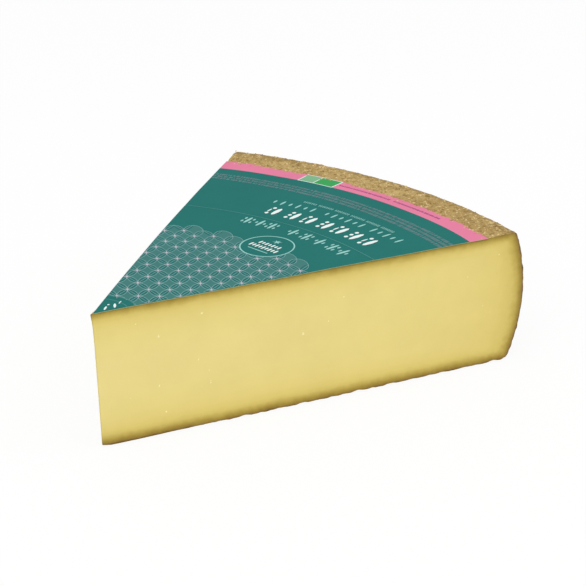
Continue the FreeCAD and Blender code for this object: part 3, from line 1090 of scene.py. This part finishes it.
class CHEESE_OT_lattice(bpy.types.Operator):
    """Print the lattice of overlapping circles and its stars"""
    bl_idname = "cheese.lattice"
    bl_label = "Lattice"

    def execute(self, context):
        marks = settings("print")
        ink = settings("paper").ink
        disc, ring, petals, cross, star = (bmesh.new() for _ in range(5))
        lozenge(disc, 0.0, 0.0, 0.0, math.sqrt(2), math.sqrt(2), corners=32)
        arc(ring, 0.0, 0.0, math.sqrt(0.5), 0.0, math.tau, marks.line_width, 32, lift=ink)
        for turn in (0.0, math.pi / 2):
            x, y = 0.5 * math.cos(turn), 0.5 * math.sin(turn)
            lozenge(petals, x, y, turn, 0.98, 0.36, lift=ink / 2, corners=12)
            bar(cross, x, y, turn, 1.0, 0.9 * marks.line_width, lift=ink + 0.005 * MM)
        for turn, length in ((math.pi / 4, 0.62), (-math.pi / 4, 0.62), (0.0, 0.42), (math.pi / 2, 0.42)):
            lozenge(star, 0.0, 0.0, turn, length, 0.05, lift=1.4 * ink + turn * 0.004 * MM)
        lozenge(star, 0.0, 0.0, 0.0, 0.15, 0.15, lift=1.6 * ink, corners=8)
        corners = self.spots(marks, 0.0, 0.0)
        middles = self.spots(marks, 0.5, marks.circles_past)
        lines = repeat(ring, middles)
        add(lines, repeat(cross, corners))
        fields = repeat(disc, middles)
        leaves = repeat(petals, corners)
        stars = repeat(star, corners)
        for bm, name, colour in ((fields, "lattice_field", marks.field_colour),
                                 (leaves, "lattice_petals", marks.petal_colour),
                                 (lines, "lattice_lines", marks.lattice_colour),
                                 (stars, "lattice_stars", marks.star_colour)):
            bmesh.ops.transform(bm, matrix=self.frame(marks), verts=bm.verts[:])
            if bm is not fields:
                away = [face for face in bm.faces if not self.shown(face.calc_center_median(), marks)]
                bmesh.ops.delete(bm, geom=away, context="FACES")
            trim_to_paper(bm)
            lay_on_paper(bm, ink)
            finish_piece(bm, name, [paper_material(name + "_ink", colour)])
        return {"FINISHED"}

    @staticmethod
    def frame(marks):
        """From a lattice of unit squares to the printed one."""
        right, up, start = marks.star_right, marks.star_up, marks.star_start
        return Matrix(((right[0], up[0], 0.0, start[0]), (right[1], up[1], 0.0, start[1]),
                       (0.0, 0.0, 1.0, 0.0), (0.0, 0.0, 0.0, 1.0)))

    def spots(self, marks, shift, beyond):
        """Corners of the unit squares, or their middles with a shift of a half, out to the edge."""
        numbers = range(-LATTICE_CELLS, LATTICE_CELLS + 1)
        found = []
        for spot in [Vector((across + shift, up + shift, 0.0)) for across in numbers for up in numbers]:
            place = self.frame(marks) @ spot
            if place.length < marks.lattice_radius + beyond and min(place.x, place.y) > -LATTICE_MARGIN:
                found.append(spot)
        return found

    @staticmethod
    def shown(centre, marks):
        """True where nothing else is printed over the lattice."""
        from_seal = (centre.xy - Vector(marks.seal_middle)).length
        return centre.xy.length > marks.plain_radius and from_seal >= marks.seal_radius + 0.2 * MM


class CHEESE_OT_rows(bpy.types.Operator):
    """Print the rows of ornaments, the rings and the small rows"""
    bl_idname = "cheese.rows"
    bl_label = "Rows"

    def execute(self, context):
        marks = settings("print")
        paper = settings("paper")
        inks = {name: bmesh.new() for name in ("plain", "pale", "faint", "white", "grey", "plum")}
        self.bold_row(inks["white"])
        self.tip_sprig(inks["white"])
        self.thin_row(inks["pale"])
        self.small_rows(inks["pale"])
        self.rings(inks["faint"])
        self.grounds(inks["plain"])
        self.seal(inks["pale"], inks["white"])
        self.micro_rows(inks["grey"], inks["plum"])
        for name, bm in inks.items():
            trim_to_paper(bm)
            lay_on_paper(bm, paper.ink, raised=name in ("pale", "white", "faint"))
            ink = paper_material(name + "_ink", getattr(marks, name + "_colour"))
            finish_piece(bm, name + "_print", [ink])
        return {"FINISHED"}

    @staticmethod
    def grounds(bm):
        """Plain teal under the seal and round the tip, over the lattice's field."""
        marks = settings("print")
        lift = 1.5 * settings("paper").ink
        for middle, radius, corners in ((marks.seal_middle, marks.seal_radius, 64),
                                        ((0.0, 0.0), marks.plain_radius, 96)):
            lozenge(bm, *middle, 0.0, 2 * radius, 2 * radius, lift, corners)

    @staticmethod
    def bold_row(bm):
        """Seven bold ornaments: a fat leaf with dots, or with a slender leaf, beside it."""
        radius = settings("print").bold_radius
        for number, degrees in enumerate((12.0, 15.2, 18.4, 21.5, 24.9, 28.1, 31.8)):
            leaf(bm, *row_place(radius, degrees - 0.5), 13.6, 3.6)
            for out in ((-4.9, 0.0, 4.9) if number % 2 else (-5.3, 5.3)):
                leaf(bm, *row_place(radius + out * MM, degrees + 0.62), 3.3, 2.7)
            if number % 2 == 0:
                leaf(bm, *row_place(radius, degrees + 0.85), 6.2, 1.3)

    @staticmethod
    def tip_sprig(bm):
        """Two small leaves beside the tip, with a dot between them and a stroke beside them."""
        for x, y, turn, length, width in ((8.5, 3.6, 1.0, 5.0, 1.4), (14.5, 4.6, 1.25, 6.0, 1.6),
                                          (11.6, 7.4, 0.0, 1.4, 1.4), (18.6, 7.6, 0.9, 3.8, 0.9)):
            leaf(bm, x * MM, y * MM, turn, length, width)

    @staticmethod
    def thin_row(bm):
        """Eight slender leaves in two groups, each between dots."""
        radius = settings("print").thin_radius
        for number, degrees in enumerate((10.9, 13.7, 16.9, 20.1, 23.2, 27.9, 30.4, 33.0)):
            leaf(bm, *row_place(radius, degrees), 11.8, 2.2)
            for beside in (-0.82, 0.82):
                for out in ((-2.7, 2.7) if number % 2 else (0.0,)):
                    leaf(bm, *row_place(radius + out * MM, degrees + beside), 3.4, 1.5)

    @staticmethod
    def small_rows(bm):
        """A row of small leaves, long and short, in three groups, and a fine dotted row outside it."""
        marks = settings("print")
        for start, count in ((9.5, 5), (17.5, 6), (27.1, 6)):
            for number in range(count):
                place = row_place(marks.small_radius, start + 1.38 * number)
                leaf(bm, *place, 5.2 if number % 2 else 8.2, 1.7)
        for number in range(52):
            if number % 9 != 8:
                turned = 0.345 * number
                place = row_place(marks.dotted_radius + 0.17 * MM * turned, 12.6 + turned)
                bar(bm, *place, 2.6 * MM, 0.55 * MM)

    @staticmethod
    def rings(bm):
        """The thin line between the rows, and two thin rings near the tip."""
        marks = settings("print")
        arc(bm, -marks.rows_back, -marks.rows_aside, marks.ring_radius, 0.0, 0.95, 0.42 * MM, 90)
        for radius in (22.0, 27.5):
            arc(bm, -1.5 * MM, -1.0 * MM, radius * MM, -0.2, 1.6, 0.4 * MM, 30)

    @staticmethod
    def seal(pale, white):
        """A ring round two rows of small leaves, a line and a small flower."""
        marks = settings("print")
        arc(pale, *marks.seal_middle, marks.seal_radius, 0.0, math.tau, 0.85 * MM, 72)
        for out, count, length in ((-3.4, 9, 5.2), (2.6, 7, 4.6)):
            for number in range(count):
                place = seal_place(out, 2.7 * (number - (count - 1) / 2))
                leaf(white, *place, length - 1.2 * (number % 2), 1.6)
        x, y, outward = seal_place(9.4)
        for number in range(3):
            turn = outward + number * math.pi / 3
            lozenge(pale, x, y, turn, 6.6 * MM, 1.5 * MM, lift=0.004 * MM * number)
        x, y, outward = seal_place(-8.8)
        bar(pale, x, y, outward + math.pi / 2, 17 * MM, 0.8 * MM)

    @staticmethod
    def micro_rows(grey, plum):
        """Three rows of fine strokes near the pink band, and one inside it."""
        marks = settings("print")
        draw = random.Random(3)
        for number in range(3):
            stroke_row(grey, draw, marks.grey_radius + number * marks.grey_pitch, 0.6, 50.0,
                       (0.7, 1.0, 1.4), (2.1, 3.1), (0.09, 0.1, 0.12, 0.26))
        stroke_row(plum, draw, marks.plum_radius, 9.2, 27.0,
                   (0.5, 0.7, 0.9), (1.7, 2.4), (0.08, 0.1, 0.12), blank=17.8)


class CHEESE_OT_patch(bpy.types.Operator):
    """Print the small green patch in the pink band"""
    bl_idname = "cheese.patch"
    bl_label = "Green patch"

    def execute(self, context):
        marks = settings("print")
        ink = settings("paper").ink
        middle = (marks.patch_inner + marks.patch_outer) / 2
        height = marks.patch_outer - marks.patch_inner
        for name, start, stop, inset, lift, colour in (
                ("patch_frame", 27.2, 32.85, 0.0, 0.0, marks.white_colour),
                ("patch_green", 27.35, 30.3, 0.75 * MM, 2 * ink, marks.green_colour),
                ("patch_pale", 30.45, 32.7, 0.75 * MM, 2 * ink, marks.pale_green_colour)):
            bm = bmesh.new()
            arc(bm, -tip_reach(), -settings("wedge").cut_offset, middle, math.radians(start),
                math.radians(stop - start), height - 2 * inset, 12, lift)
            lay_on_paper(bm, ink)
            finish_piece(bm, name, [paper_material(name + "_ink", colour)])
        return {"FINISHED"}


class CHEESE_OT_stage(bpy.types.Operator):
    """Set up the floor, the light and the camera"""
    bl_idname = "cheese.stage"
    bl_label = "Stage"

    def execute(self, context):
        stage = settings("stage")
        scene = context.scene
        self.floor(stage)
        self.world(scene, stage)
        for name, place, power, size in (("key", (-0.9, -1.1, 1.6), stage.key, 1.4),
                                         ("fill", (1.3, -0.7, 1.2), stage.key * 0.4, 1.4)):
            light = bpy.data.lights.new(name, "AREA")
            light.energy = power
            light.size = size
            lamp = bpy.data.objects.new(name, light)
            lamp.location = place
            lamp.rotation_euler = (-Vector(place)).to_track_quat("-Z", "Y").to_euler()
            scene.collection.objects.link(lamp)
        camera = bpy.data.objects.new("camera", bpy.data.cameras.new("camera"))
        camera.data.lens = stage.lens
        camera.data.sensor_width = 36.0
        camera.location = TIP + Vector((-stage.camera_left, -stage.camera_back, stage.camera_height))
        camera.rotation_euler = (math.pi / 2 - stage.camera_dip, 0.0, -stage.camera_turn)
        scene.collection.objects.link(camera)
        scene.camera = camera
        scene.view_settings.view_transform = "Standard"
        return {"FINISHED"}

    @staticmethod
    def floor(stage):
        """A wide pale disc that keeps a soft shadow."""
        bm = bmesh.new()
        bmesh.ops.create_circle(bm, cap_ends=True, radius=6.0, segments=96)
        mesh = bpy.data.meshes.new("floor")
        bm.to_mesh(mesh)
        bm.free()
        material, tree = new_material("floor")
        plain = node(tree, "ShaderNodeBsdfDiffuse")
        plain.inputs["Color"].default_value = (*stage.floor_colour, 1.0)
        bright = node(tree, "ShaderNodeEmission", Strength=1.0)
        share = math_node(tree, "MULTIPLY", seen_directly(tree), stage.floor_glow)
        blend_shaders(tree, share, plain, bright, "ShaderNodeOutputMaterial")
        mesh.materials.append(material)
        floor = bpy.data.objects.new("floor", mesh)
        bpy.context.scene.collection.objects.link(floor)

    @staticmethod
    def world(scene, stage):
        """Even light from all round, and plain white behind."""
        world = bpy.data.worlds.new("world")
        world.use_nodes = True
        tree = world.node_tree
        tree.nodes.clear()
        even = node(tree, "ShaderNodeBackground", Strength=stage.sky)
        white = node(tree, "ShaderNodeBackground", Strength=1.0)
        for background in (even, white):
            background.inputs["Color"].default_value = (1.0, 1.0, 1.0, 1.0)
        blend_shaders(tree, seen_directly(tree), even, white, "ShaderNodeOutputWorld")
        scene.world = world


class CHEESE_PT_pieces(bpy.types.Panel):
    """The pieces of the wedge, in the order in which they are made"""
    bl_label = "Cheese wedge"
    bl_idname = "CHEESE_PT_pieces"
    bl_space_type = "VIEW_3D"
    bl_region_type = "UI"
    bl_category = "Cheese"

    def draw(self, context):
        for operator in OPERATORS:
            self.layout.operator(operator.bl_idname)
        for name in SETTINGS:
            box = self.layout.box()
            box.label(text=name.capitalize())
            group = settings(name)
            for field in group.__annotations__:
                box.prop(group, field)


SETTINGS = {
    "wedge": WedgeSettings,
    "crystal": CrystalSettings,
    "flake": FlakeSettings,
    "paper": PaperSettings,
    "print": PrintSettings,
    "stage": StageSettings,
}
OPERATORS = (CHEESE_OT_wedge, CHEESE_OT_crystals, CHEESE_OT_flakes, CHEESE_OT_paper, CHEESE_OT_lattice,
             CHEESE_OT_rows, CHEESE_OT_patch, CHEESE_OT_stage)


def register():
    for cls in (*SETTINGS.values(), *OPERATORS, CHEESE_PT_pieces):
        bpy.utils.register_class(cls)
    for name, cls in SETTINGS.items():
        setattr(bpy.types.Scene, "cheese_" + name, PointerProperty(type=cls))


def unregister():
    for name in SETTINGS:
        delattr(bpy.types.Scene, "cheese_" + name)
    for cls in reversed((*SETTINGS.values(), *OPERATORS, CHEESE_PT_pieces)):
        bpy.utils.unregister_class(cls)


def main():
    register()
    for operator in OPERATORS:
        area, name = operator.bl_idname.split(".")
        getattr(getattr(bpy.ops, area), name)()


if __name__ == "__main__":
    main()
